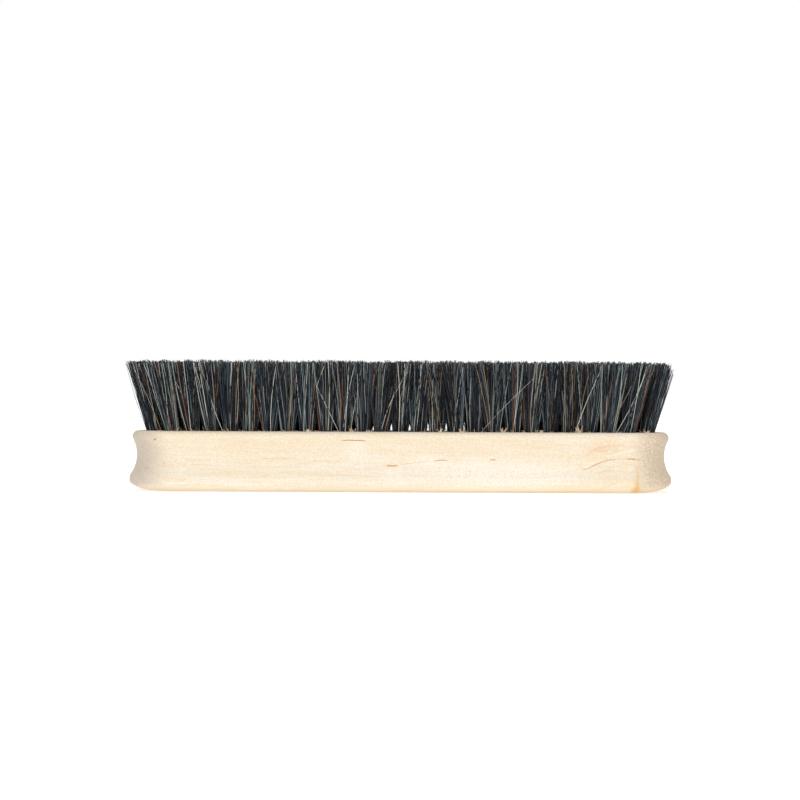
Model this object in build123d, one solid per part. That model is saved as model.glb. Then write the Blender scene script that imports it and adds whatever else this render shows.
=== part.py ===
from build123d import *
import math
import os

# A clothes brush. A one-piece wooden block, with a finger groove round its edge, carries a field
# of hair tufts. Each tuft is doubled over a flat steel anchor and driven into a blind hole.
#
# Millimetres. The back of the block lies flat on z = 0 and the bristles point up. X runs along
# the brush, Y across it, and the origin is under the middle of the block.

# Wooden block, in plan
BLOCK_LENGTH = 170.0
BLOCK_WIDTH = 50.0
BLOCK_HEIGHT = 18.7
CORNER_RADIUS = 14.0
END_BOW_RADIUS = 60.0  # the two ends are slightly bowed

# Wooden block, edge section. An inset is measured inwards from the widest outline.
LIP_INSET = 0.9  # the edge beside the bristles stands in a little from the widest outline
LIP_RADIUS = 1.8
GROOVE_INSET = 2.3  # deepest point of the finger groove
GROOVE_HEIGHT = 11.2  # height of that deepest point
BULGE_RADIUS = 1.6  # rounded shoulder below the groove
BACK_ROUND_INSET = 10.0  # the back is eased all round by a wide, shallow quarter ellipse
BACK_ROUND_HEIGHT = 3.2
CUT_MARGIN = 3.0  # how far the edge cutter reaches outside the block

# Tuft field
COLUMNS_EACH_SIDE = 13  # columns on either side of the middle one
ROWS_EACH_SIDE = 3  # rows on either side of the centre line
COLUMN_PITCH = 5.72  # at the middle of the brush
COLUMN_SPREAD = 0.000162  # the pitch opens out with the square of the column number
ROW_PITCH = 5.75
HOLE_RADIUS = 2.35
HOLE_DEPTH = 12.0
HOLE_RIM = 0.6  # least width of flat wood between a hole and the rounded lip

# Fan of the tufts
END_LEAN = 13.0  # degrees outwards, at the last column
END_LEAN_START = 41.0  # distance from the middle where the columns begin to lean
END_LEAN_POWER = 1.7
SIDE_LEAN = 7.0  # degrees outwards, at the outermost row
SIDE_LEAN_POWER = 1.5

# Tufts
TRIM_HEIGHT = 40.0  # all tufts are trimmed level at this height above the back
TUFT_CLEARANCE = 0.05  # between a tuft and its hole
TUFT_FLARE = 0.5  # growth in radius from the block to the trimmed end
UNTRIMMED = 1.25  # length above the block before trimming, as a share of the trimmed length

# Anchors
ANCHOR_WIDTH = 5.2  # wider than the hole, so that it bites into the wood on both sides
ANCHOR_HEIGHT = 1.9
ANCHOR_THICKNESS = 0.35
ANCHOR_LIFT = 0.9  # hair folded under the anchor
ANCHOR_TURN = 45.0  # degrees across the grain
ANCHOR_CLEARANCE = 0.02


def arc_about(centre, radius, start, end):
    """The short circular arc from start to end round a centre, all in one plane."""
    towards = (start - centre) + (end - centre)
    return ThreePointArc(start, centre + towards.normalized() * radius, end)


def bow_turn():
    """Angle at which the corner arc hands over to the bowed end."""
    return math.asin((BLOCK_WIDTH / 2 - CORNER_RADIUS) / (END_BOW_RADIUS - CORNER_RADIUS))


def corner_centre():
    """Centre of the round corner in the positive quarter of the plan."""
    x = BLOCK_LENGTH / 2 - END_BOW_RADIUS + (END_BOW_RADIUS - CORNER_RADIUS) * math.cos(bow_turn())
    return x, BLOCK_WIDTH / 2 - CORNER_RADIUS


def block_outline():
    """The widest outline of the block: straight sides, round corners and bowed ends."""
    half_length = BLOCK_LENGTH / 2
    half_width = BLOCK_WIDTH / 2
    corner_x, corner_y = corner_centre()
    bow_x = corner_x + CORNER_RADIUS * math.cos(bow_turn())
    bow_y = corner_y + CORNER_RADIUS * math.sin(bow_turn())

    def corner(side_x, side_y, from_side):
        centre = Vector(side_x * corner_x, side_y * corner_y)
        on_side = Vector(side_x * corner_x, side_y * half_width)
        on_bow = Vector(side_x * bow_x, side_y * bow_y)
        ends = (on_side, on_bow) if from_side else (on_bow, on_side)
        return arc_about(centre, CORNER_RADIUS, *ends)

    def bow(side_x):
        start = Vector(side_x * bow_x, -side_x * bow_y)
        end = Vector(side_x * bow_x, side_x * bow_y)
        return ThreePointArc(start, Vector(side_x * half_length, 0), end)

    return Wire(
        [
            Line((0, -half_width), (corner_x, -half_width)),
            corner(1, -1, True),
            bow(1),
            corner(1, 1, False),
            Line((corner_x, half_width), (-corner_x, half_width)),
            corner(-1, 1, True),
            bow(-1),
            corner(-1, -1, False),
            Line((-corner_x, -half_width), (0, -half_width)),
        ]
    )


def edge_section():
    """What the moulding cutter removes: inset from the outline along X, height along Y."""
    lip_centre = Vector(LIP_INSET + LIP_RADIUS, BLOCK_HEIGHT - LIP_RADIUS)

    # The groove is one hollow arc, sized so that it runs smoothly out of the rounded lip.
    inwards = lip_centre.X - GROOVE_INSET
    upwards = lip_centre.Y - GROOVE_HEIGHT
    groove_radius = (inwards**2 + upwards**2 - LIP_RADIUS**2) / (2 * (LIP_RADIUS - inwards))
    groove_centre = Vector(GROOVE_INSET - groove_radius, GROOVE_HEIGHT)

    # The shoulder below it touches both the groove and the widest outline.
    reach = BULGE_RADIUS + groove_radius
    drop = math.sqrt(reach**2 - (BULGE_RADIUS - groove_centre.X) ** 2)
    bulge_centre = Vector(BULGE_RADIUS, GROOVE_HEIGHT - drop)

    lip_top = lip_centre + Vector(0, LIP_RADIUS)
    lip_end = lip_centre + (groove_centre - lip_centre).normalized() * LIP_RADIUS
    bulge_start = bulge_centre + (groove_centre - bulge_centre).normalized() * BULGE_RADIUS
    bulge_end = bulge_centre - Vector(BULGE_RADIUS, 0)
    round_start = Vector(0, BACK_ROUND_HEIGHT)

    return make_face(
        Curve()
        + [
            arc_about(lip_centre, LIP_RADIUS, lip_top, lip_end),
            arc_about(groove_centre, groove_radius, lip_end, bulge_start),
            arc_about(bulge_centre, BULGE_RADIUS, bulge_start, bulge_end),
            Line(bulge_end, round_start),
            EllipticalCenterArc(
                (BACK_ROUND_INSET, BACK_ROUND_HEIGHT),
                BACK_ROUND_INSET,
                BACK_ROUND_HEIGHT,
                start_angle=180,
                arc_size=90,
            ),
            Polyline(
                (BACK_ROUND_INSET, 0),
                (BACK_ROUND_INSET, -CUT_MARGIN),
                (-CUT_MARGIN, -CUT_MARGIN),
                (-CUT_MARGIN, BLOCK_HEIGHT + CUT_MARGIN),
                (lip_top.X, BLOCK_HEIGHT + CUT_MARGIN),
                lip_top,
            ),
        ]
    )


def column_x(column):
    return column * COLUMN_PITCH * (1 + COLUMN_SPREAD * column**2)


def lean(distance, start, end, most, power):
    """Outward lean in degrees, growing from nothing at start to the most at end."""
    part_way = max(0.0, abs(distance) - start) / (end - start)
    return math.copysign(most * part_way**power, distance)


def hole_frame(column, row):
    """A plane at the mouth of a hole, with its Z axis along the tuft."""
    x = column_x(column)
    y = row * ROW_PITCH
    lean_x = lean(x, END_LEAN_START, column_x(COLUMNS_EACH_SIDE), END_LEAN, END_LEAN_POWER)
    lean_y = lean(y, 0.0, ROWS_EACH_SIDE * ROW_PITCH, SIDE_LEAN, SIDE_LEAN_POWER)
    along = (math.tan(math.radians(lean_x)), math.tan(math.radians(lean_y)), 1)
    return Plane(origin=(x, y, BLOCK_HEIGHT), x_dir=(1, 0, -along[0]), z_dir=along)


def fits_corner(column, row):
    """Whether a hole keeps clear of the rounded lip at the corners of the block."""
    corner_x, corner_y = corner_centre()
    past_x = max(0.0, abs(column_x(column)) - corner_x)
    past_y = max(0.0, abs(row * ROW_PITCH) - corner_y)
    limit = CORNER_RADIUS - LIP_INSET - LIP_RADIUS - HOLE_RIM - HOLE_RADIUS
    return math.hypot(past_x, past_y) <= limit


def anchor_box(clearance):
    """A flat anchor at the bottom of a hole, in the hole's own frame."""
    middle = -HOLE_DEPTH + ANCHOR_LIFT + ANCHOR_HEIGHT / 2
    plate = Box(
        ANCHOR_WIDTH + 2 * clearance,
        ANCHOR_THICKNESS + 2 * clearance,
        ANCHOR_HEIGHT + 2 * clearance,
    )
    return Pos(0, 0, middle) * Rot(0, 0, ANCHOR_TURN) * plate


def hole_bore():
    """The blind hole for one tuft, running a little out of the wood."""
    return Pos(0, 0, -HOLE_DEPTH) * Cylinder(
        HOLE_RADIUS,
        HOLE_DEPTH + CUT_MARGIN,
        align=(Align.CENTER, Align.CENTER, Align.MIN),
    )


def untrimmed_tuft():
    """One tuft before trimming: a straight shank in the hole, then a slight flare."""
    shank_radius = HOLE_RADIUS - TUFT_CLEARANCE
    length = TRIM_HEIGHT - BLOCK_HEIGHT
    shank = Pos(0, 0, -HOLE_DEPTH) * Cylinder(
        shank_radius, HOLE_DEPTH, align=(Align.CENTER, Align.CENTER, Align.MIN)
    )
    brush_end = Cone(
        shank_radius,
        shank_radius + TUFT_FLARE * UNTRIMMED,
        length * UNTRIMMED,
        align=(Align.CENTER, Align.CENTER, Align.MIN),
    )
    return shank + brush_end - anchor_box(ANCHOR_CLEARANCE)


def make_block(frames):
    """The wooden block, moulded round its edge and drilled for every tuft."""
    outline = block_outline()
    blank = extrude(make_face(outline), BLOCK_HEIGHT)
    start = Plane(origin=(0, -BLOCK_WIDTH / 2, 0), x_dir=(0, 1, 0), z_dir=(1, 0, 0))
    moulded = blank - sweep(start * edge_section(), path=outline)
    bore = hole_bore()
    bite = anchor_box(ANCHOR_CLEARANCE)
    tools = [frame * bore for frame in frames] + [frame * bite for frame in frames]
    return moulded.cut(*tools)


def make_tufts(frames):
    """The tufts of one column, trimmed level."""
    tuft = untrimmed_tuft()
    trim = Plane.XY.offset(TRIM_HEIGHT)
    return [split(frame * tuft, bisect_by=trim, keep=Keep.BOTTOM) for frame in frames]


def make_anchors(frames):
    """The anchors of one column."""
    anchor = anchor_box(0.0)
    return [frame * anchor for frame in frames]


def save(node, solids):
    shape = Compound(children=list(solids)) if len(solids) > 1 else solids[0]
    shape.label = node
    export_step(shape, f"parts/{node}.step")


columns = []
for column in range(-COLUMNS_EACH_SIDE, COLUMNS_EACH_SIDE + 1):
    rows = [row for row in range(-ROWS_EACH_SIDE, ROWS_EACH_SIDE + 1) if fits_corner(column, row)]
    columns.append([hole_frame(column, row) for row in rows])

os.makedirs("parts", exist_ok=True)
save("block", [make_block([frame for frames in columns for frame in frames])])
for number, frames in enumerate(columns, start=1):
    save(f"tuft_column_{number:02d}", make_tufts(frames))
    save(f"anchor_column_{number:02d}", make_anchors(frames))
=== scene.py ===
import math

import bmesh
import bpy
import numpy as np
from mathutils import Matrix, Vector


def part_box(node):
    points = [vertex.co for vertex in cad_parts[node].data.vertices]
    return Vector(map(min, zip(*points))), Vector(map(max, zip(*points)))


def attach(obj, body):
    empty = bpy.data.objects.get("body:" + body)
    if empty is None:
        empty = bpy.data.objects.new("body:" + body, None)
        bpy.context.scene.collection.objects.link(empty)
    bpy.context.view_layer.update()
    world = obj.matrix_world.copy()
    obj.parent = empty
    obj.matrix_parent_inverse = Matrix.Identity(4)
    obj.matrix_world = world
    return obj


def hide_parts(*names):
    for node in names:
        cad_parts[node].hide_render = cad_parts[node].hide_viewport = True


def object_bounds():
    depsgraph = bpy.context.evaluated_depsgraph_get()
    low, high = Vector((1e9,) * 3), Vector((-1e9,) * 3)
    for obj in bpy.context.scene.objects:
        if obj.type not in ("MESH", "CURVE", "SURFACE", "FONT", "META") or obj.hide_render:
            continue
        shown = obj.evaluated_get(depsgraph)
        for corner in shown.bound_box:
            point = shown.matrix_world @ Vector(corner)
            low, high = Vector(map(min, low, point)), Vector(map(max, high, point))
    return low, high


# A clothes brush lying on its back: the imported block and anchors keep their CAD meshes, and
# each CAD tuft is replaced by a bundle of separate hairs. Metres, in the row frame.
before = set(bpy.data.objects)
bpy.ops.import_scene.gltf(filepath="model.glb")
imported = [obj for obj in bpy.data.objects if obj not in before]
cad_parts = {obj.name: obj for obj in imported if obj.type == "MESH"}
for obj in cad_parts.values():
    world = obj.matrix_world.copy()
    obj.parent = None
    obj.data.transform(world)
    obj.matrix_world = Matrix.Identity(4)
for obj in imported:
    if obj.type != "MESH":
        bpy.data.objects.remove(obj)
cad_box = [list(corner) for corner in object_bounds()]
block_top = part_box("block")[1][2]
trim_height = cad_box[1][2]

MM = 0.001
SEED = 292

# Camera: level, a little above the back of the brush, square to its long side
CAMERA_DISTANCE = 0.8
CAMERA_HEIGHT = 28.5 * MM
CAMERA_YAW = 0.4  # degrees
CAMERA_ROLL = -0.24  # degrees
VIEW_WIDTH = 252.0 * MM  # width of the picture at the middle of the brush
VIEW_CENTRE_X = -0.2 * MM

# Light
SKY_STRENGTH = 0.95
SIDE_SHARE = 0.35  # strength of the sky towards the two ends of the brush
SIDE_START = 0.3  # the sky begins to weaken at this sideways part of its direction
FLOOR_GLOW = 0.42
FLOOR_HALF = 6.0
KEY_PLACE = (-0.15, -1.0, 0.75)
KEY_SIZE = 0.9
KEY_POWER = 4.0
KEY_TARGET = (0, 0, 0.02)

# Hair
HAIRS_PER_TUFT = 260
CLUMPS_PER_TUFT = 9
LOCKS_PER_TUFT = 80  # small groups inside the clumps
STRAND_SEGMENTS = 4
STRAND_SIDES = 3
ROOT_DEPTH = 0.8 * MM  # how far below the wood's face a hair starts
ROOT_FILL = 0.95  # share of its tuft's radius that the hair takes up at the wood
ROOT_BAND = 1.0 * MM  # CAD points this near the wood's face give a tuft's ring there
TIP_BAND = 0.01 * MM  # the same at the trim
HAIR_TAPER = 0.72  # width at the tip, as a share of the width at the root
TRIM_SETBACK = 0.55 * MM  # the shortest hairs end this far below the trimmed height
TRIM_JITTER = 0.05 * MM  # between the hairs of a tip group
TIPS_PER_TUFT = 75  # small groups of hairs cut at the same height
TIP_HEIGHT = 0.31 * MM  # mean height of a tip group above the shortest
TIP_LIMIT = 1.3 * MM
ROUNDED_FROM = 82.0 * MM  # beyond this distance along +X the trim falls away
ROUNDED_FALL = 260.0  # metres of fall per square metre of distance
SHORT_HAIRS = 0.06  # share of hairs that end below the trim
SHORTER_BY = (1.0 * MM, 12.0 * MM)
TUFT_TILT = (0.8 * MM, 0.6 * MM)  # how far a whole tuft strays at the tip
CLUMP_SCATTER = 0.40 * MM  # how far a clump strays from its tuft at the tip
LOCK_SCATTER = 0.50 * MM  # how far a lock strays from its clump
HAIR_SCATTER = 1.0 * MM  # how far a hair strays from its lock
SPLAY = 1.2 * MM  # how far the outermost hairs lean over the tufts beside them
SCATTER_GROWTH = 1.3  # scatter grows with this power of the height above the wood
HAIR_BOW = 0.38 * MM
EARLY_FLARE = 0.12  # share of the tuft's radius gained just above the wood
EARLY_FLARE_END = 0.25  # share of the free length where that is complete
STRAYS_PER_TUFT = 2.6
STRAY_ROOTS = 0.9  # share of the tuft's radius where strays start
STRAY_REACH = (3.85 * MM, 2.1 * MM)  # along and across the brush
STRAY_BELOW_TRIM = 3.5 * MM
STRAY_BEND = 0.7 * MM
STRAY_THICKNESS = 0.8  # as a share of the same kinds in the tufts
STRAY_LIMIT = 86.0 * MM  # no stray reaches further along the brush than this
FAN_DIFFERENCE = 0.5 * MM  # one end fans out further than the other by twice this
FAN_START = 60 * MM
SCATTER_ACROSS = 0.70  # scatter across the brush, as a share of the scatter along it
END_STEADINESS = 0.65  # share of the sideways scatter that the end tufts lose

# Kinds of hair: name, share, colour, roughness, range of radii in millimetres
HAIR_KINDS = (
    ("hair_black", 0.365, (0.0060, 0.0076, 0.0112), 0.46, (0.090, 0.130)),
    ("hair_charcoal", 0.230, (0.0200, 0.0265, 0.0370), 0.48, (0.090, 0.130)),
    ("hair_slate", 0.170, (0.080, 0.104, 0.128), 0.50, (0.080, 0.120)),
    ("hair_umber", 0.032, (0.062, 0.034, 0.022), 0.50, (0.080, 0.120)),
    ("hair_rust", 0.017, (0.400, 0.135, 0.045), 0.50, (0.080, 0.120)),
    ("hair_tan", 0.016, (0.520, 0.330, 0.170), 0.52, (0.080, 0.120)),
    ("hair_grey", 0.086, (0.280, 0.335, 0.345), 0.52, (0.075, 0.110)),
    ("hair_sage", 0.034, (0.540, 0.620, 0.540), 0.52, (0.085, 0.120)),
    ("hair_cream", 0.028, (0.870, 0.865, 0.790), 0.52, (0.090, 0.130)),
)
STRAY_SHARES = (0.14, 0.10, 0.12, 0.05, 0.12, 0.10, 0.12, 0.13, 0.12)  # the same, among strays

# Hairs that stand out on the front of the brush, in millimetres: x at the wood, x and height at
# the tip, sideways bow, kind
RUST, TAN, SAGE, CREAM = 4, 5, 7, 8
FRONT_HAIRS = (
    (-73.2, -81.8, 38.1, 0.4, TAN),
    (-71.3, -73.1, 39.2, 0.5, SAGE),
    (-70.2, -69.9, 33.9, 0.3, RUST),
    (-65.4, -69.8, 39.7, -0.5, SAGE),
    (-63.4, -62.8, 35.4, -0.5, TAN),
    (-54.2, -59.3, 34.3, -0.6, CREAM),
    (-42.0, -46.5, 37.0, 0.3, RUST),
    (-34.1, -36.0, 39.5, 0.4, SAGE),
    (-18.7, -17.6, 39.5, 0.3, RUST),
    (-17.5, -14.0, 38.7, -0.6, CREAM),
    (-13.0, -13.1, 36.5, 0.0, SAGE),
    (-6.1, -4.6, 39.3, -0.3, SAGE),
    (-6.1, 2.2, 37.1, -1.1, CREAM),
    (-5.0, -0.5, 38.8, 0.3, TAN),
    (4.2, 6.5, 39.0, -0.2, SAGE),
    (13.0, 8.6, 37.2, 0.3, TAN),
    (16.4, 19.2, 38.6, -0.2, CREAM),
    (24.2, 40.9, 35.3, -0.5, CREAM),
    (28.0, 25.3, 39.2, 0.4, TAN),
    (34.5, 37.5, 39.5, 0.2, SAGE),
    (47.2, 44.0, 38.2, 0.5, RUST),
    (53.5, 60.8, 36.8, -0.3, CREAM),
    (54.7, 57.5, 36.0, -0.4, TAN),
    (61.7, 61.9, 39.8, -0.2, SAGE),
    (62.9, 72.2, 35.8, 0.2, TAN),
    (63.8, 67.2, 39.1, -0.4, SAGE),
    (66.0, 74.9, 36.8, 0.6, CREAM),
    (68.4, 75.3, 39.1, 0.4, SAGE),
)
KINKED_HAIR = ((-18.6, 18.0), (-25.6, 32.6), (-23.3, 38.8))  # x and height of its root, kink and tip
FRONT_THICKNESS = 0.95  # as a share of the same kinds in the tufts
FRONT_ROOT_Y = -19.2 * MM  # inside the front row of tufts
FRONT_LEAN = -0.20  # how far these hairs come forward for each metre of height

# Torn fibres of wood: splinters at the rims of all the holes, and chips and burrs at the front row
FIBRE_TAPER = 0.25
SPLINTERS = 420
SPLINTER_LENGTH = (0.6 * MM, 2.2 * MM)
SPLINTER_RADIUS = (0.12 * MM, 0.30 * MM)
SPLINTER_SWERVE = 1.2  # radians away from straight out of the hole
SPLINTER_FLAT = (0.4, 0.95)  # share of its length that a splinter runs along the wood
SPLINTER_RISE = (0.25, 0.8)  # share of its length that it rises
SPLINTER_CURL = (0.4, 0.9)  # half turns
SPLINTER_SINK = 0.1 * MM
CHIP_Y = -19.8 * MM
CHIP_RADIUS = (0.22 * MM, 0.45 * MM)
CHIP_FLAKES = 9
CHIP_FAN = 0.8  # radians between the flakes of a chip
CHIP_SHORTEST = 0.5  # share of the chip's length
CHIP_SPREAD = 0.35 * MM
CHIP_FORWARD = 0.2  # how far a flake comes forward for each metre of length
CHIP_SINK = 0.2 * MM
BURRS = 90
BURR_REACH = 74 * MM  # from the middle of the brush
BURR_LENGTH = (0.8 * MM, 2.6 * MM)
BURR_RADIUS = (0.14 * MM, 0.26 * MM)
BURR_SET = (-0.5 * MM, 0.3 * MM)  # in front of and behind CHIP_Y
BURR_RISE = (0.0, 0.45 * MM)
BURR_CURL = 0.6  # half turns
FRONT_CHIPS = (  # x and length in millimetres
    (-27.9, 1.5),
    (-15.0, 1.7),
    (-9.7, 1.0),
    (12.4, 2.0),
    (19.0, 1.4),
    (31.8, 2.0),
    (43.5, 1.0),
    (55.0, 2.6),
    (76.0, 1.3),
)


# ---------------------------------------------------------------- materials


class Surface:
    """A procedural material, with short ways to add and join its nodes."""

    def __init__(self, name):
        self.material = bpy.data.materials.new(name)
        self.material.use_nodes = True
        self.tree = self.material.node_tree
        self.shader = self.tree.nodes["Principled BSDF"]

    def node(self, kind, inputs=(), **settings):
        """Adds a node; an input is a value or another node's output."""
        made = self.tree.nodes.new(kind)
        for key, value in settings.items():
            setattr(made, key, value)
        for key, value in dict(inputs).items():
            self.set(made.inputs[key], value)
        return made

    def set(self, socket, value):
        if isinstance(value, bpy.types.NodeSocket):
            self.tree.links.new(value, socket)
        else:
            socket.default_value = value

    def place(self):
        """Position on the object, in metres."""
        return self.node("ShaderNodeTexCoord").outputs["Object"]

    def vector(self, operation, a, b=None):
        """The result of one vector operation."""
        made = self.node("ShaderNodeVectorMath", {0: a}, operation=operation)
        if b is not None:
            self.set(made.inputs[1], b)
        return made.outputs["Value" if operation == "LENGTH" else "Vector"]

    def parts(self, vector):
        """The X, Y and Z of a vector."""
        split = self.node("ShaderNodeSeparateXYZ", {0: vector})
        return split.outputs[0], split.outputs[1], split.outputs[2]

    def maths(self, operation, a, b=0.0):
        """The result of one operation on numbers."""
        return self.node("ShaderNodeMath", {0: a, 1: b}, operation=operation).outputs[0]

    def noise(self, place, scale, detail=2.0, roughness=0.5):
        """Smooth noise from 0 to 1, with its own scale along each axis."""
        scaled = self.vector("MULTIPLY", place, scale)
        settings = {"Vector": scaled, "Scale": 1.0, "Detail": detail, "Roughness": roughness}
        return self.node("ShaderNodeTexNoise", settings).outputs[0]

    def shift(self, **offsets):
        """A vector made of separate X, Y or Z values."""
        return self.node("ShaderNodeCombineXYZ", offsets).outputs[0]

    def between(self, value, low, high, to_low=0.0, to_high=1.0):
        """value taken from the range low..high to the range to_low..to_high, smoothly."""
        made = self.node(
            "ShaderNodeMapRange",
            {"Value": value, "From Min": low, "From Max": high, "To Min": to_low, "To Max": to_high},
            interpolation_type="SMOOTHSTEP",
        )
        return made.outputs["Result"]

    def mix(self, share, a, b):
        """Colour a, with a share of colour b mixed in."""
        made = self.node("ShaderNodeMix", data_type="RGBA")
        self.set(made.inputs[0], share)
        for socket, value in ((made.inputs[6], a), (made.inputs[7], b)):
            self.set(socket, value if isinstance(value, bpy.types.NodeSocket) else (*value, 1.0))
        return made.outputs[2]

    def over(self, colour, layers):
        """Lays colours over another one.

        A layer is its pattern, the two values of the pattern where the layer starts and where it
        is full, its greatest strength, and its colour.
        """
        for pattern, start, full, strength, tint in layers:
            colour = self.mix(self.between(pattern, start, full, 0.0, strength), colour, tint)
        return colour

    def soft_mark(self, place, centre, size, slope, strength):
        """Strength of a soft oval mark; sizes in millimetres, slope in degrees."""
        offset = self.vector("SUBTRACT", place, tuple(c * MM for c in centre))
        turn = {"Vector": offset, "Angle": math.radians(slope)}
        turned = self.node("ShaderNodeVectorRotate", turn, rotation_type="Y_AXIS")
        scaled = self.vector("DIVIDE", turned.outputs[0], tuple(c * MM for c in size))
        distance = self.vector("LENGTH", scaled)
        return self.between(distance, 1.0, MARK_CORE, 0.0, strength)

    def line_mark(self, place, start, end, rise, half_thickness, strength):
        """Strength of a thin, slightly bent line on the front; sizes in millimetres."""
        x, y, z = self.parts(place)
        middle = ((start[0] + end[0]) / 2 * MM, (start[1] + end[1]) / 2 * MM)
        along = self.maths("DIVIDE", self.maths("SUBTRACT", x, middle[0]), (end[0] - start[0]) / 2 * MM)
        along_squared = self.maths("MULTIPLY", along, along)
        straight = self.maths("MULTIPLY", along, (end[1] - start[1]) / 2 * MM)
        bent = self.maths("MULTIPLY", self.maths("SUBTRACT", 1.0, along_squared), rise * MM)
        line_z = self.maths("ADD", self.maths("ADD", straight, bent), middle[1])
        thickest = half_thickness * MM
        thinnest = half_thickness * LINE_END_WIDTH * MM
        thickness_here = self.between(along_squared, LINE_THINS_FROM, 1.0, thickest, thinnest)
        off = self.maths("ABSOLUTE", self.maths("SUBTRACT", z, line_z))
        off = self.maths("DIVIDE", off, thickness_here)
        across = self.between(off, 1.0, LINE_CORE, 0.0, strength)
        ends = self.between(along_squared, 1.0, LINE_FADES_FROM)
        front = self.maths("LESS_THAN", y, LINES_IN_FRONT_OF)
        return self.maths("MULTIPLY", self.maths("MULTIPLY", across, ends), front)

    def finish(self, colour, roughness, bump=None, bump_height=0.0, specular=0.5):
        """Joins everything to the shader, and gives the material."""
        colour = colour if isinstance(colour, bpy.types.NodeSocket) else (*colour, 1.0)
        self.set(self.shader.inputs["Base Color"], colour)
        self.set(self.shader.inputs["Roughness"], roughness)
        self.shader.inputs["Specular IOR Level"].default_value = specular
        if bump is not None:
            relief = {"Height": bump, "Distance": bump_height, "Strength": 1.0}
            made = self.node("ShaderNodeBump", relief)
            self.set(self.shader.inputs["Normal"], made.outputs["Normal"])
        return self.material


# Marks in the wood and painted shade on it: where they start to fade
MARK_CORE = 0.15  # a soft mark has its full strength inside this share of its size
LINE_CORE = 0.3  # the same, across a line
LINE_THINS_FROM = 0.1  # along a line, as a share of its half length, squared
LINE_FADES_FROM = 0.6  # the same
LINE_END_WIDTH = 0.35  # share of its thickness that is left at its ends
LINES_IN_FRONT_OF = -15 * MM

# Colours of the marks in the wood, and of painted shade on it
FLECK = (0.58, 0.25, 0.06)
SPECK = (0.40, 0.22, 0.11)
STAIN = (0.76, 0.45, 0.13)
ORANGE = (0.78, 0.55, 0.33)
# a buff tone in the wood, also used for painted shade along the upper front
BUFF_TONE_AND_SHADE = (0.81, 0.68, 0.50)
# painted shade where the ends of the block turn away from the light
PAINTED_END_SHADE = (0.66, 0.54, 0.42)
PALE = (0.90, 0.86, 0.77)

# Soft marks: centre (x, y, z) and half size in millimetres, slope in degrees, colour, strength.
# The broad tints and painted shades lie under the speckle of the wood, the others over it.
WOOD_TINTS_AND_SHADES = (
    ((-52.0, -23, 11.0), (32.0, 8, 11.0), 0, BUFF_TONE_AND_SHADE, 0.45),
    # painted shade: a darker band along the upper front, in the hollow under the lip
    ((0.0, -24, 14.8), (110.0, 9, 5.5), 0, BUFF_TONE_AND_SHADE, 0.40),
    # painted shade at the left end and the top of the right end, where they turn from the light
    ((-76.0, -20, 9.0), (11.0, 14, 14.0), 0, PAINTED_END_SHADE, 0.50),
    ((74.0, -20, 14.5), (6.5, 9, 5.0), 0, PAINTED_END_SHADE, 0.25),
    ((-13.0, -24, 13.5), (6.0, 6, 4.5), 0, PALE, 0.55),
    ((-1.0, -24, 5.0), (5.5, 6, 4.5), 0, PALE, 0.60),
    ((8.5, -24, 10.0), (9.0, 6, 3.2), 0, PALE, 0.70),
    ((30.0, -24, 6.0), (42.0, 8, 7.5), 0, PALE, 0.95),
    ((62.0, -23, 13.8), (8.5, 6, 3.6), 10, ORANGE, 0.60),
)
WOOD_MARKS = (
    ((72.5, -21, 2.8), (1.5, 8, 2.9), 4, STAIN, 1.00),
    ((72.2, -21, 1.2), (2.4, 8, 1.4), 0, STAIN, 0.80),
    ((72.7, -21, 5.3), (1.1, 8, 1.9), 0, STAIN, 0.60),
    ((72.4, -21, 7.8), (1.0, 8, 1.4), 0, STAIN, 0.30),
    ((-75.1, -23, 16.1), (0.9, 5, 0.42), 30, SPECK, 0.80),
    ((-79.2, -16, 13.8), (0.6, 6, 0.40), 0, SPECK, 0.45),
    ((-72.1, -21, 8.9), (0.6, 5, 0.35), 0, SPECK, 0.60),
    ((-77.5, -20, 7.3), (0.9, 6, 0.30), 20, SPECK, 0.45),
)

# Thin lines on the front: start (x, z), end (x, z), rise of the middle and half thickness in
# millimetres, colour, strength
WOOD_LINES = (
    ((-18.3, 16.10), (-9.9, 15.75), 0.20, 0.27, FLECK, 0.90),
    ((-4.3, 8.50), (-0.3, 8.60), -0.25, 0.37, FLECK, 0.78),
    ((-0.2, 8.75), (9.5, 9.70), 0.10, 0.21, FLECK, 0.26),
    ((10.0, 9.85), (15.0, 10.00), 0.15, 0.26, FLECK, 0.69),
    ((27.3, 10.25), (29.5, 10.30), 0.05, 0.31, FLECK, 0.69),
    ((-43.0, 10.30), (-31.0, 10.45), 0.10, 0.23, FLECK, 0.20),
    ((55.4, 7.40), (58.4, 7.75), 0.00, 0.21, FLECK, 0.57),
    ((57.5, 7.60), (62.4, 10.00), 0.20, 0.27, FLECK, 0.78),
    ((61.6, 9.80), (66.2, 10.55), 0.20, 0.23, FLECK, 0.62),
    ((66.0, 10.55), (69.8, 10.72), 0.05, 0.18, FLECK, 0.34),
    ((69.2, 10.70), (72.2, 10.60), 0.05, 0.27, FLECK, 1.00),
    ((71.8, 10.60), (73.6, 10.35), 0.05, 0.20, FLECK, 0.57),
    ((55.8, 11.00), (64.0, 14.60), 0.80, 0.60, ORANGE, 0.40),
    ((58.4, 13.40), (69.3, 14.90), 0.40, 0.60, ORANGE, 0.40),
    ((59.0, 12.60), (63.6, 13.10), 0.30, 0.30, ORANGE, 0.50),
    ((60.2, 6.20), (64.8, 7.60), 0.10, 0.45, ORANGE, 0.40),
    ((60.6, 1.20), (66.8, 3.60), 0.20, 0.40, ORANGE, 0.40),
)
RAGGED_BY = 0.5 * MM  # how far the edges of the marks wander, from end to end
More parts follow.
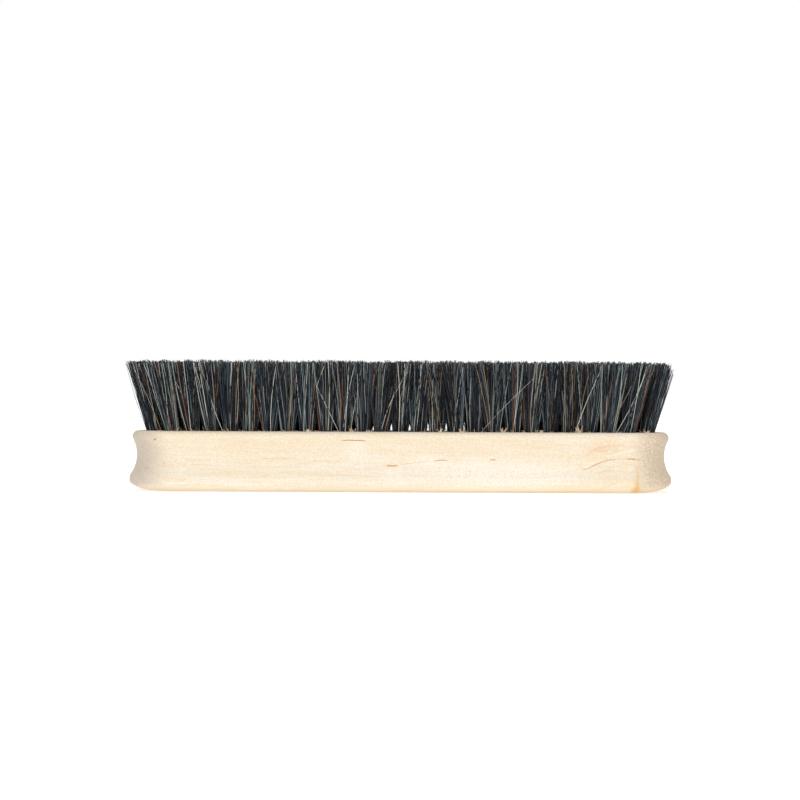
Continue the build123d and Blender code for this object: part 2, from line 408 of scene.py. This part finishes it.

# Grain, and end grain with painted shade on the ends
PITH = (0, 0.030, -0.075)  # middle of the growth rings seen at the ends of the block, in metres
RING_TILT = 0.05  # the rings' centre line drifts by this share of the distance along the block
SWIRL_CENTRE = (63.0, -24.0, 13.0)  # millimetres
SWIRL_SIZE = (9.0, 8.0, 5.0)  # millimetres, from its centre to where it ends
SWIRL_LIFT = 2.0 * MM  # how far the knot moves the grain beside it
WAVER = 4.0 * MM  # how far the grain wanders up and down
END_GRAIN_AND_SHADE_FACING = (0.05, 0.75)  # X part of the surface's direction where end grain and painted shade start and are full
END_GRAIN_AND_SHADE_STRENGTH = 0.85
RING_SHARE = 0.6  # of the end grain's pattern; the rest is specks
FUZZY_X = (71 * MM, 76 * MM)  # where the fuzzy corner starts and where it is full
FUZZY_Y = (-9 * MM, -16 * MM)
WOOD_ROUGHNESS = (0.50, 0.66)
FIBRE_RELIEF = 0.7
PORE_RELIEF = 0.3
RELIEF_HEIGHT = 0.05 * MM
SHEEN_RANGE = (-0.08, 0.10)  # change in a hair's roughness along it

# Colours of the wood itself; the end colours also carry painted shade
BIRCH_LIGHT = (0.838, 0.785, 0.685)
BIRCH_WARM = (0.822, 0.715, 0.555)
CLOUD = (0.830, 0.705, 0.525)
STREAK = (0.820, 0.665, 0.445)
FIBRE = (0.805, 0.635, 0.415)
FRECKLE = (0.835, 0.645, 0.400)
PORE = (0.600, 0.440, 0.290)
# End grain colours, darkened with painted shade for the ends turned from the light
GREY_END_SHADED = (0.635, 0.540, 0.455)
GREY_END_DARK_SHADED = (0.535, 0.445, 0.355)
BROWN_END_SHADED = (0.680, 0.525, 0.375)
BROWN_END_DARK_SHADED = (0.550, 0.405, 0.265)
TORN = (0.560, 0.410, 0.270)
FUZZ = (0.830, 0.740, 0.610)
SPLINTER_PALE = (0.840, 0.740, 0.600)
SPLINTER_BROWN = (0.600, 0.440, 0.280)
STEEL = (0.56, 0.56, 0.57)
FLOOR_WHITE = (0.85, 0.85, 0.85)

# Cells of noise per metre along X, Y and Z
BAND_SCALE = (7, 120, 240)
STREAK_SCALE = (38, 700, 1150)
FIBRE_SCALE = (70, 1500, 1900)
BLEACH_SCALE = (45, 900, 1300)
PORE_SCALE = (260, 5200, 6200)
CLOUD_SCALE = (22, 45, 60)
SPARKLE_SCALE = (2700, 2700, 2500)
FRECKLE_SCALE = (2400, 2600, 2800)
WAVER_SCALE = (14, 40, 40)
RING_SCALE = (520, 520, 520)
END_SPECK_SCALE = (900, 2600, 2600)
TORN_SCALE = (2200, 2200, 3000)
RAGGED_SCALE = (400, 400, 400)
SPLINTER_SCALE = (160, 160, 160)
SHEEN_SCALE = (700, 700, 160)
DRAWN_SCALE = (400, 400, 6000)

# Offsets that keep one noise from repeating another
BLEACH_OFFSET = (0.5, 0.3, 0.1)
FRECKLE_OFFSET = (0.37, 0.11, 0.23)
FUZZ_OFFSET = (0.2, 0.6, 0.4)


def grain_position(s, place):
    """Position in the grain: it wavers, and a knot beside the face bends it."""
    from_swirl = s.vector("SUBTRACT", place, tuple(c * MM for c in SWIRL_CENTRE))
    scaled = s.vector("DIVIDE", from_swirl, tuple(c * MM for c in SWIRL_SIZE))
    swirl = s.between(s.vector("LENGTH", scaled), 1.0, 0.0)
    lift = s.shift(Z=s.maths("MULTIPLY", swirl, SWIRL_LIFT))
    waver = s.noise(place, WAVER_SCALE, detail=1.0)
    waver = s.shift(Z=s.maths("MULTIPLY", waver, WAVER))
    return s.vector("ADD", s.vector("ADD", place, lift), waver)


def long_grain(s, place, grain_place, fibres, pores):
    """Colour of the long grain, from its broad bands down to its pores."""
    bands = s.noise(grain_place, BAND_SCALE, detail=3.0, roughness=0.6)
    streaks = s.noise(grain_place, STREAK_SCALE, detail=3.0, roughness=0.6)
    bleached = s.noise(s.vector("ADD", grain_place, BLEACH_OFFSET), BLEACH_SCALE, detail=2.0)
    clouds = s.noise(place, CLOUD_SCALE, detail=2.0)
    sparkle = s.noise(place, SPARKLE_SCALE, detail=1.0)
    freckles = s.noise(s.vector("ADD", place, FRECKLE_OFFSET), FRECKLE_SCALE, detail=1.0)

    colour = s.mix(s.between(bands, 0.36, 0.64), BIRCH_LIGHT, BIRCH_WARM)
    grain = (
        (clouds, 0.42, 0.72, 0.60, CLOUD),
        (streaks, 0.48, 0.66, 0.50, STREAK),
        (fibres, 0.50, 0.64, 0.80, FIBRE),
        (bleached, 0.54, 0.68, 0.50, PALE),
    )
    colour = s.over(colour, grain)
    # broad tints of the wood, and painted shade at the ends and along the upper front
    for centre, size, slope, tint, strength in WOOD_TINTS_AND_SHADES:
        colour = s.mix(s.soft_mark(place, centre, size, slope, strength), colour, tint)
    speckle = (
        (sparkle, 0.48, 0.60, 0.60, PALE),
        (freckles, 0.50, 0.62, 0.66, FRECKLE),
        (pores, 0.64, 0.78, 0.40, PORE),
    )
    return s.over(colour, speckle)


def end_grain_and_shade(s, place, colour):
    """Darker, ringed end grain where the surface faces along X, darkened partly with painted shade.

    It is greyer at one end of the block, and browner at the other, where the front corner is fuzzy.
    """
    x, y, _ = s.parts(place)
    facing = s.parts(s.node("ShaderNodeNewGeometry").outputs["Normal"])[0]
    # painted shade with the end grain: darker as the surface turns along X, away from the light
    end_on_shaded = s.between(s.maths("ABSOLUTE", facing), *END_GRAIN_AND_SHADE_FACING, 0.0, END_GRAIN_AND_SHADE_STRENGTH)
    right = s.between(x, -5 * MM, 5 * MM)
    from_pith = s.vector("MULTIPLY", s.vector("SUBTRACT", place, PITH), (0, 1, 1))
    from_pith = s.vector("ADD", from_pith, s.vector("MULTIPLY", place, (RING_TILT, 0, 0)))
    rings = s.noise(s.shift(X=s.vector("LENGTH", from_pith)), RING_SCALE, detail=3.0, roughness=0.7)
    specks = s.noise(place, END_SPECK_SCALE, detail=2.0)
    rings = s.maths("MULTIPLY", rings, RING_SHARE)
    specks = s.maths("MULTIPLY", specks, 1.0 - RING_SHARE)
    ringed = s.maths("ADD", rings, specks)
    dark = s.between(ringed, 0.40, 0.62)
    grey_end_shaded = s.mix(dark, GREY_END_SHADED, GREY_END_DARK_SHADED)
    brown_end_shaded = s.mix(dark, BROWN_END_SHADED, BROWN_END_DARK_SHADED)
    colour = s.mix(end_on_shaded, colour, s.mix(right, grey_end_shaded, brown_end_shaded))

    corner = s.maths("MULTIPLY", s.between(x, *FUZZY_X), s.between(y, *FUZZY_Y))
    torn = s.between(s.noise(place, TORN_SCALE, detail=1.0), 0.50, 0.60, 0.0, 0.60)
    colour = s.mix(s.maths("MULTIPLY", corner, torn), colour, TORN)
    fuzz = s.noise(s.vector("ADD", place, FUZZ_OFFSET), TORN_SCALE, detail=1.0)
    fuzz = s.between(fuzz, 0.50, 0.60, 0.0, 0.70)
    return s.mix(s.maths("MULTIPLY", corner, fuzz), colour, FUZZ)


def face_marks(s, place, colour):
    """The stain, specks, dashes and crack of the front, with slightly ragged edges."""
    ragged = s.maths("SUBTRACT", s.noise(place, RAGGED_SCALE), 0.5)
    ragged = s.maths("MULTIPLY", ragged, RAGGED_BY)
    place = s.vector("ADD", place, s.shift(X=ragged, Z=ragged))
    for centre, size, slope, tint, strength in WOOD_MARKS:
        colour = s.mix(s.soft_mark(place, centre, size, slope, strength), colour, tint)
    for start, end, rise, half_thickness, tint, strength in WOOD_LINES:
        line = s.line_mark(place, start, end, rise, half_thickness, strength)
        colour = s.mix(line, colour, tint)
    return colour


def wood_material():
    """Pale birch with its grain along X."""
    s = Surface("wood_birch")
    place = s.place()
    grain_place = grain_position(s, place)
    fibres = s.noise(grain_place, FIBRE_SCALE, detail=2.0, roughness=0.6)
    pores = s.noise(grain_place, PORE_SCALE, detail=1.0)
    colour = long_grain(s, place, grain_place, fibres, pores)
    colour = end_grain_and_shade(s, place, colour)
    colour = face_marks(s, place, colour)
    roughness = s.between(fibres, 0.2, 0.8, *WOOD_ROUGHNESS)
    raised = s.maths("MULTIPLY", fibres, FIBRE_RELIEF)
    sunk = s.maths("MULTIPLY", pores, -PORE_RELIEF)
    relief = s.maths("ADD", raised, sunk)
    return s.finish(colour, roughness, bump=relief, bump_height=RELIEF_HEIGHT, specular=0.35)


def splinter_material():
    """Freshly torn birch, with a few browner fibres."""
    s = Surface("wood_splinter")
    tone = s.noise(s.place(), SPLINTER_SCALE, detail=1.0)
    colour = s.mix(s.between(tone, 0.35, 0.65), SPLINTER_PALE, SPLINTER_BROWN)
    return s.finish(colour, 0.7, specular=0.3)


def hair_material(name, colour, roughness):
    """One kind of hair: its sheen varies in bands along the hair."""
    s = Surface(name)
    bands = s.noise(s.place(), SHEEN_SCALE, detail=1.0)
    varied = s.between(bands, 0.3, 0.7, *(roughness + change for change in SHEEN_RANGE))
    return s.finish(colour, varied, specular=0.3)


def steel_material():
    """Plain drawn steel wire, hidden at the bottom of the holes."""
    s = Surface("anchor_steel")
    drawn = s.noise(s.place(), DRAWN_SCALE, detail=2.0)
    s.shader.inputs["Metallic"].default_value = 1.0
    return s.finish(STEEL, s.between(drawn, 0.3, 0.7, 0.25, 0.45))


def floor_material():
    """A white light table, bright enough to lift the shadow under the brush."""
    s = Surface("white_floor")
    s.shader.inputs["Emission Color"].default_value = (1, 1, 1, 1)
    s.shader.inputs["Emission Strength"].default_value = FLOOR_GLOW
    return s.finish(FLOOR_WHITE, 0.6, specular=0.2)


# ---------------------------------------------------------------- hair


def separate_solids(node):
    """The points of each separate solid of a CAD node."""
    mesh = bmesh.new()
    mesh.from_mesh(node.data)
    bmesh.ops.remove_doubles(mesh, verts=mesh.verts, dist=1e-6)
    left = set(mesh.verts)
    solids = []
    while left:
        reached = [left.pop()]
        points = []
        while reached:
            vertex = reached.pop()
            points.append(vertex.co[:])
            for edge in vertex.link_edges:
                other = edge.other_vert(vertex)
                if other in left:
                    left.remove(other)
                    reached.append(other)
        solids.append(np.array(points))
    mesh.free()
    return sorted(solids, key=lambda points: points[:, 1].mean())


def ring(points, height, reach):
    """Centre and radius of the ring of a tuft's points near a height."""
    near = points[np.abs(points[:, 2] - height) < reach]
    low, high = near.min(axis=0), near.max(axis=0)
    return (low + high) / 2, (high[1] - low[1]) / 2


class HairMesh:
    """Gathers strands of hair, and makes one mesh of them all."""

    def __init__(self):
        self.paths = []
        self.radii = []
        self.kinds = []

    def add(self, paths, radii, kinds):
        """paths is (strands, points, 3); radii and kinds have one value per strand."""
        self.paths.append(paths)
        self.radii.append(radii)
        self.kinds.append(kinds)

    def build(self, name, materials, tip_width=HAIR_TAPER):
        """One mesh object of all the strands, each a thin tapered tube with a cap."""
        paths = np.concatenate(self.paths)
        radii = np.concatenate(self.radii)
        kinds = np.concatenate(self.kinds)
        strands, points = paths.shape[:2]

        taper = np.linspace(1.0, tip_width, points)
        angles = np.arange(STRAND_SIDES) * 2 * math.pi / STRAND_SIDES
        circle = np.stack([np.cos(angles), np.sin(angles), np.zeros(STRAND_SIDES)], axis=1)
        width = (radii[:, None] * taper)[:, :, None, None]
        vertices = (paths[:, :, None, :] + width * circle).reshape(-1, 3)

        level, side = np.meshgrid(np.arange(points - 1), np.arange(STRAND_SIDES), indexing="ij")
        beside = (side + 1) % STRAND_SIDES
        here, above = level * STRAND_SIDES, (level + 1) * STRAND_SIDES
        quads = np.stack([here + side, here + beside, above + beside, above + side], axis=-1)
        quads = quads.reshape(-1, 4)
        cap = (points - 1) * STRAND_SIDES + np.arange(STRAND_SIDES)
        strand_loops = np.concatenate([quads.ravel(), cap])
        first = np.arange(strands) * points * STRAND_SIDES
        loops = (first[:, None] + strand_loops).ravel()
        totals = np.tile(np.append(np.full(len(quads), 4), STRAND_SIDES), strands)
        starts = np.concatenate([[0], np.cumsum(totals)[:-1]])

        mesh = bpy.data.meshes.new(name)
        mesh.vertices.add(len(vertices))
        mesh.vertices.foreach_set("co", vertices.ravel())
        mesh.loops.add(len(loops))
        mesh.loops.foreach_set("vertex_index", loops)
        mesh.polygons.add(len(totals))
        mesh.polygons.foreach_set("loop_start", starts)
        for material in materials:
            mesh.materials.append(material)
        faces_each = len(quads) + 1
        mesh.polygons.foreach_set("material_index", np.repeat(kinds, faces_each))
        mesh.polygons.foreach_set("use_smooth", np.ones(len(totals), dtype=bool))
        mesh.update(calc_edges=True)
        made = bpy.data.objects.new(name, mesh)
        bpy.context.scene.collection.objects.link(made)
        return made


def in_disc(rng, count):
    """Even random points in a unit disc, as (count, 2)."""
    angle = rng.uniform(0, 2 * math.pi, count)
    distance = np.sqrt(rng.uniform(0, 1, count))
    return np.stack([distance * np.cos(angle), distance * np.sin(angle)], axis=1)


def nearest(places, centres):
    """Which centre each place is closest to."""
    return np.argmin(((places[:, None] - centres) ** 2).sum(axis=2), axis=1)


def pick_kinds(rng, count):
    """Kinds of hair, in the shares listed."""
    shares = np.array([kind[1] for kind in HAIR_KINDS])
    return rng.choice(len(HAIR_KINDS), size=count, p=shares / shares.sum())


def thickness(rng, kinds):
    """A radius for each hair, from the range of its kind."""
    ranges = np.array([kind[4] for kind in HAIR_KINDS]) * MM
    return rng.uniform(ranges[kinds, 0], ranges[kinds, 1])


def grow_tuft(rng, hair, points, count):
    """The hairs of one tuft, following its CAD solid from the wood up to the trim."""
    root, root_radius = ring(points, block_top, ROOT_BAND)
    tip, tip_radius = ring(points, trim_height, TIP_BAND)
    near_end = min(1.0, max(0.0, abs(tip[0]) - FAN_START) / (cad_box[1][0] - FAN_START))
    tip[0] -= FAN_DIFFERENCE * near_end

    spot = in_disc(rng, count)
    lock_centres = in_disc(rng, LOCKS_PER_TUFT)
    lock = nearest(spot, lock_centres)
    clump = nearest(lock_centres, in_disc(rng, CLUMPS_PER_TUFT))
    clump_drift = rng.normal(0, CLUMP_SCATTER, (CLUMPS_PER_TUFT, 2))
    lock_drift = clump_drift[clump] + rng.normal(0, LOCK_SCATTER, (LOCKS_PER_TUFT, 2))
    tilt = rng.normal(0, 1, 2) * TUFT_TILT
    drift = tilt + lock_drift[lock] + rng.normal(0, HAIR_SCATTER, (count, 2))
    drift = (drift + spot * SPLAY) * (1.0, SCATTER_ACROSS)
    drift[:, 0] *= 1 - END_STEADINESS * near_end
    bow = rng.normal(0, HAIR_BOW, (count, 2))

    end = tip[:2] + spot * tip_radius + drift
    tip_group = nearest(end, end[:TIPS_PER_TUFT])
    tip_height = np.minimum(rng.exponential(TIP_HEIGHT, TIPS_PER_TUFT), TIP_LIMIT)
    top = trim_height - TRIM_SETBACK + rng.normal(0, TRIM_JITTER, count) + tip_height[tip_group]
    reach = end[:, 0]
    top -= np.clip(reach - ROUNDED_FROM, 0, None) ** 2 * ROUNDED_FALL
    short = rng.uniform(0, 1, count) < SHORT_HAIRS
    top[short] -= rng.uniform(*SHORTER_BY, short.sum())

    steps = np.linspace(0, 1, STRAND_SEGMENTS + 1)
    bottom = block_top - ROOT_DEPTH
    height = bottom + (top - bottom)[:, None] * steps
    up = (height - block_top) / (trim_height - block_top)
    above = np.clip(up, 0, None)
    spread = root_radius * ROOT_FILL + (tip_radius - root_radius) * above
    spread = spread + root_radius * EARLY_FLARE * np.minimum(above / EARLY_FLARE_END, 1)

    paths = np.empty((count, len(steps), 3))
    paths[:, :, 2] = height
    for axis in (0, 1):
        centre = root[axis] + (tip[axis] - root[axis]) * up
        paths[:, :, axis] = (
            centre
            + spot[:, axis, None] * spread
            + drift[:, axis, None] * above**SCATTER_GROWTH
            + bow[:, axis, None] * np.sin(math.pi * np.clip(up, 0, 1))
        )
    kinds = pick_kinds(rng, count)
    hair.add(paths, thickness(rng, kinds), kinds)

    strays = rng.poisson(STRAYS_PER_TUFT)
    if strays:
        add_strays(rng, hair, root, root_radius, tip, strays)


def add_strays(rng, hair, root, root_radius, tip, count):
    """Hairs that leave their tuft and cross the ones beside it."""
    start = root[:2] + in_disc(rng, count) * root_radius * STRAY_ROOTS
    away = rng.normal(0, 1, (count, 2)) * STRAY_REACH
    top = trim_height - np.abs(rng.normal(0, STRAY_BELOW_TRIM, count))
    up = (top - block_top) / (trim_height - block_top)
    end = root[:2] + (tip - root)[:2] * up[:, None] + away
    end[:, 0] = np.clip(end[:, 0], -STRAY_LIMIT, STRAY_LIMIT)
    steps = np.linspace(0, 1, STRAND_SEGMENTS + 1)
    bend = rng.normal(0, STRAY_BEND, (count, 2))
    paths = np.empty((count, len(steps), 3))
    bottom = block_top - ROOT_DEPTH
    paths[:, :, 2] = bottom + (top - bottom)[:, None] * steps
    for axis in (0, 1):
        straight = start[:, axis, None] + (end - start)[:, axis, None] * steps
        paths[:, :, axis] = straight + bend[:, axis, None] * np.sin(math.pi * steps)
    kinds = rng.choice(len(HAIR_KINDS), size=count, p=STRAY_SHARES)
    hair.add(paths, thickness(rng, kinds) * STRAY_THICKNESS, kinds)


def make_column(number, materials, count, tufts):
    """Replaces one CAD column of tufts by its hairs, and notes where each tuft stands."""
    node_name = f"tuft_column_{number:02d}"
    rng = np.random.default_rng([SEED, number])
    hair = HairMesh()
    for points in separate_solids(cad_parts[node_name]):
        grow_tuft(rng, hair, points, count)
        tufts.append(ring(points, block_top, ROOT_BAND))
    made = hair.build(f"bristles_{number:02d}", materials)
    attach(made, "root")
    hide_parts(node_name)


def make_front_hairs(materials):
    """The listed hairs, each rooted inside the front row and coming out in front of it."""
    rng = np.random.default_rng([SEED, 2000])
    steps = np.linspace(0, 1, STRAND_SEGMENTS * 2 + 1)
    hair = HairMesh()

    def add(x, height, kind):
        y = FRONT_ROOT_Y + FRONT_LEAN * (height - block_top)
        kinds = np.array([kind])
        hair.add(np.stack([x, y, height], axis=1)[None], thickness(rng, kinds) * FRONT_THICKNESS, kinds)

    for root_x, tip_x, tip_height, bow, kind in FRONT_HAIRS:
        height = block_top - ROOT_DEPTH + (tip_height * MM - block_top + ROOT_DEPTH) * steps
        add((root_x + (tip_x - root_x) * steps + bow * np.sin(math.pi * steps)) * MM, height, kind)
    kinked_x, kinked_height = np.array(KINKED_HAIR).T * MM
    height = np.interp(steps, [0, 0.5, 1], kinked_height)
    add(np.interp(steps, [0, 0.5, 1], kinked_x), height, CREAM)

    made = hair.build("front_hairs", materials)
    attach(made, "root")


def add_splinters(rng, fibres, tufts, steps):
    """Short splinters that curl up and away from the rims of the holes."""
    chosen = rng.integers(0, len(tufts), SPLINTERS)
    angle = rng.uniform(0, 2 * math.pi, SPLINTERS)
    length = rng.uniform(*SPLINTER_LENGTH, SPLINTERS)
    lean_way = angle + rng.normal(0, SPLINTER_SWERVE, SPLINTERS)
    flat = length * rng.uniform(*SPLINTER_FLAT, SPLINTERS)
    rise = length * rng.uniform(*SPLINTER_RISE, SPLINTERS)
    paths = np.empty((SPLINTERS, len(steps), 3))
    for axis, along in ((0, np.cos), (1, np.sin)):
        rim = np.array([tufts[i][0][axis] + tufts[i][1] * along(a) for i, a in zip(chosen, angle)])
        paths[:, :, axis] = rim[:, None] + (flat * along(lean_way))[:, None] * steps
    curl = np.sin(steps * math.pi * rng.uniform(*SPLINTER_CURL, SPLINTERS)[:, None])
    paths[:, :, 2] = block_top - SPLINTER_SINK + rise[:, None] * curl
    fibres.add(paths, rng.uniform(*SPLINTER_RADIUS, SPLINTERS), np.zeros(SPLINTERS, dtype=int))


def add_chip(rng, fibres, x, length, steps):
    """One larger chip at the front row: a small fan of flakes."""
    lean_angle = rng.normal(0, CHIP_FAN, CHIP_FLAKES)[:, None]
    reach = length * MM * rng.uniform(CHIP_SHORTEST, 1.0, CHIP_FLAKES)[:, None] * steps
    start = x * MM + rng.normal(0, CHIP_SPREAD, CHIP_FLAKES)[:, None]
    paths = np.empty((CHIP_FLAKES, len(steps), 3))
    paths[:, :, 0] = start + np.sin(lean_angle) * reach
    paths[:, :, 1] = CHIP_Y - CHIP_FORWARD * reach
    paths[:, :, 2] = block_top - CHIP_SINK + np.cos(lean_angle) * reach
    fibres.add(paths, rng.uniform(*CHIP_RADIUS, CHIP_FLAKES), np.zeros(CHIP_FLAKES, dtype=int))


def add_burrs(rng, fibres, steps):
    """Burrs that lie along the edge of the front holes."""
    start = rng.uniform(-BURR_REACH, BURR_REACH, BURRS)[:, None]
    length = rng.uniform(*BURR_LENGTH, BURRS)[:, None] * rng.choice([-1, 1], BURRS)[:, None]
    paths = np.empty((BURRS, len(steps), 3))
    paths[:, :, 0] = start + length * steps
    paths[:, :, 1] = CHIP_Y + rng.uniform(*BURR_SET, BURRS)[:, None]
    rise = rng.uniform(*BURR_RISE, BURRS)[:, None]
    paths[:, :, 2] = block_top + rise * np.sin(math.pi * steps * BURR_CURL)
    fibres.add(paths, rng.uniform(*BURR_RADIUS, BURRS), np.zeros(BURRS, dtype=int))


def make_splinters(tufts, material):
    """Torn fibres of wood at the rims of the holes, as one piece."""
    rng = np.random.default_rng([SEED, 1000])
    steps = np.linspace(0, 1, STRAND_SEGMENTS + 1)
    fibres = HairMesh()
    add_splinters(rng, fibres, tufts, steps)
    for x, length in FRONT_CHIPS:
        add_chip(rng, fibres, x, length, steps)
    add_burrs(rng, fibres, steps)
    made = fibres.build("wood_splinters", [material], tip_width=FIBRE_TAPER)
    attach(made, "root")


# ---------------------------------------------------------------- stage


def make_floor():
    """A wide, flat floor under the brush."""
    mesh = bpy.data.meshes.new("floor")
    corners = [(x * FLOOR_HALF, y * FLOOR_HALF, 0) for x, y in ((-1, -1), (1, -1), (1, 1), (-1, 1))]
    mesh.from_pydata(corners, [], [(0, 1, 2, 3)])
    mesh.materials.append(floor_material())
    made = bpy.data.objects.new("floor", mesh)
    bpy.context.scene.collection.objects.link(made)


def make_key_light():
    """A soft square lamp in front of the brush, aimed at it."""
    data = bpy.data.lights.new("key", "AREA")
    data.size = KEY_SIZE
    data.energy = KEY_POWER
    made = bpy.data.objects.new("key", data)
    made.location = KEY_PLACE
    made.rotation_euler = (Vector(KEY_TARGET) - Vector(KEY_PLACE)).to_track_quat("-Z", "Y").to_euler()
    bpy.context.scene.collection.objects.link(made)


def make_world():
    """White all round. As a light it is weaker from beyond the two ends of the brush."""
    world = bpy.data.worlds.new("studio")
    world.use_nodes = True
    tree = world.node_tree
    background = tree.nodes["Background"]
    background.inputs["Color"].default_value = (1, 1, 1, 1)
    direction = tree.nodes.new("ShaderNodeSeparateXYZ")
    tree.links.new(tree.nodes.new("ShaderNodeTexCoord").outputs["Generated"], direction.inputs[0])
    sideways = tree.nodes.new("ShaderNodeMath")
    sideways.operation = "ABSOLUTE"
    tree.links.new(direction.outputs["X"], sideways.inputs[0])
    falloff = tree.nodes.new("ShaderNodeMapRange")
    falloff.inputs["From Min"].default_value = SIDE_START
    falloff.inputs["To Min"].default_value = SKY_STRENGTH
    falloff.inputs["To Max"].default_value = SKY_STRENGTH * SIDE_SHARE
    tree.links.new(sideways.outputs[0], falloff.inputs["Value"])
    seen = tree.nodes.new("ShaderNodeLightPath")
    choice = tree.nodes.new("ShaderNodeMix")
    tree.links.new(seen.outputs["Is Camera Ray"], choice.inputs[0])
    tree.links.new(falloff.outputs[0], choice.inputs[2])
    choice.inputs[3].default_value = 1.0
    tree.links.new(choice.outputs[0], background.inputs["Strength"])
    bpy.context.scene.world = world


def make_camera():
    """A level camera in front of the long side of the brush."""
    data = bpy.data.cameras.new("camera")
    data.sensor_width = 36.0
    data.lens = data.sensor_width * CAMERA_DISTANCE / VIEW_WIDTH
    data.clip_start = 0.01
    made = bpy.data.objects.new("camera", data)
    yaw = math.radians(CAMERA_YAW)
    made.location = (
        VIEW_CENTRE_X + CAMERA_DISTANCE * math.sin(yaw),
        -CAMERA_DISTANCE * math.cos(yaw),
        CAMERA_HEIGHT,
    )
    made.rotation_euler = (math.radians(90), math.radians(CAMERA_ROLL), yaw)
    bpy.context.scene.collection.objects.link(made)
    bpy.context.scene.camera = made


# ---------------------------------------------------------------- scene

wood = wood_material()
steel = steel_material()
for node_name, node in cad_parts.items():
    if node_name == "block" or node_name.startswith("anchor"):
        node.data.materials.clear()
        node.data.materials.append(wood if node_name == "block" else steel)

hair_materials = [hair_material(name, colour, rough) for name, _, colour, rough, _ in HAIR_KINDS]
hairs = HAIRS_PER_TUFT
column_count = sum(name.startswith("tuft_column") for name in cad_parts)
tufts = []
for number in range(1, column_count + 1):
    make_column(number, hair_materials, hairs, tufts)
make_front_hairs(hair_materials)
make_splinters(tufts, splinter_material())

make_floor()
make_world()
make_key_light()
make_camera()
bpy.context.scene.view_settings.view_transform = "Standard"
